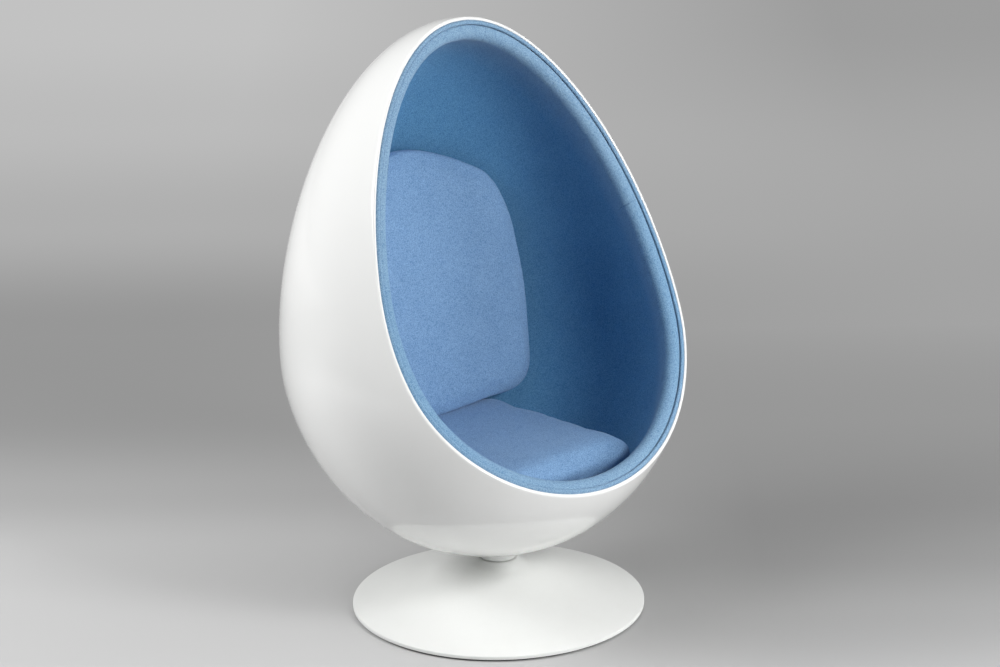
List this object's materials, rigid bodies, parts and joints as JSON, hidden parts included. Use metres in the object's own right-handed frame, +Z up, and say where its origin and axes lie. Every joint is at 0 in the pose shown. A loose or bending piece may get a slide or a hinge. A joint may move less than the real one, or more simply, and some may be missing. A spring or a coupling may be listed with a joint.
{
  "type": "pod chair",
  "caption": "Egg-shaped pod chair: glossy white shell on a round swivel base, padded and lined in blue, with loose seat and back cushions.",
  "frame": {"origin": "the point of the floor on the swivel axis, under the middle of the base", "axes": "+Z up, -Y out of the opening, +X to the sitter's left"},
  "size_m": [0.89, 0.8265, 1.2991],
  "materials": {
    "gelcoat": "high gloss",
    "white_powder_coat": "satin",
    "blue_wool": "felted weave",
    "blue_cushion_wool": "felted weave",
    "firm_foam": "open-cell foam",
    "soft_foam": "open-cell foam",
    "zip": "coil zip",
    "steel": "machined",
    "black_steel": "matt",
    "zinc_bolts": "zinc plated",
    "ball_steel": "polished",
    "bronze": "sintered",
    "nylon": "natural",
    "plywood": "sanded",
    "mat": "matt"
  },
  "bodies": {
    "base": {"floor_mat": "mat", "base_plate": "black_steel", "base_cone": "white_powder_coat", "stem": "steel", "stem_bolts": "zinc_bolts", "centring_ring": "nylon", "lower_bush": "bronze", "upper_bush": "bronze", "bearing_lower_race": "steel"},
    "ball_ring": {"bearing_cage": "bronze", "bearing_balls": "ball_steel"},
    "pod": {"shell": "gelcoat", "rim_welt": "blue_wool", "lining_cover": "blue_wool", "rim_roll_foam": "firm_foam", "wall_foam": "soft_foam", "seat_deck": "firm_foam", "deck_cover": "blue_wool", "swivel_hub": "white_powder_coat", "mount_block": "plywood", "spreader_plate": "black_steel", "mount_bolts": "zinc_bolts", "spindle": "steel", "spindle_washer": "zinc_bolts", "spindle_bolt": "zinc_bolts", "bearing_upper_race": "steel"},
    "seat_cushion": {"seat_cushion_cover": "blue_cushion_wool", "seat_cushion_foam": "soft_foam", "seat_cushion_zip": "zip"},
    "back_cushion": {"back_cushion_cover": "blue_cushion_wool", "back_cushion_foam": "soft_foam", "back_cushion_zip": "zip"}
  },
  "joints": [
    {"name": "swivel", "type": "hinge", "parent": "base", "child": "pod", "pos_m": [0, 0, 0.1035], "axis": [0, 0, 1], "continuous": true},
    {"name": "ball_ring_turn", "type": "hinge", "parent": "base", "child": "ball_ring", "pos_m": [0, 0, 0.1035], "axis": [0, 0, 1], "continuous": true},
    {"name": "seat_lift_out", "type": "slide", "parent": "pod", "child": "seat_cushion", "axis": [0, -0.5, 0.866], "range_m": [0, 0.12]},
    {"name": "back_lift_out", "type": "slide", "parent": "seat_cushion", "child": "back_cushion", "axis": [0, -0.9063, 0.4226], "range_m": [0, 0.25]}
  ],
  "couplings": [
    {"joint": "ball_ring_turn", "follows": "swivel", "ratio": 0.5}
  ]
}
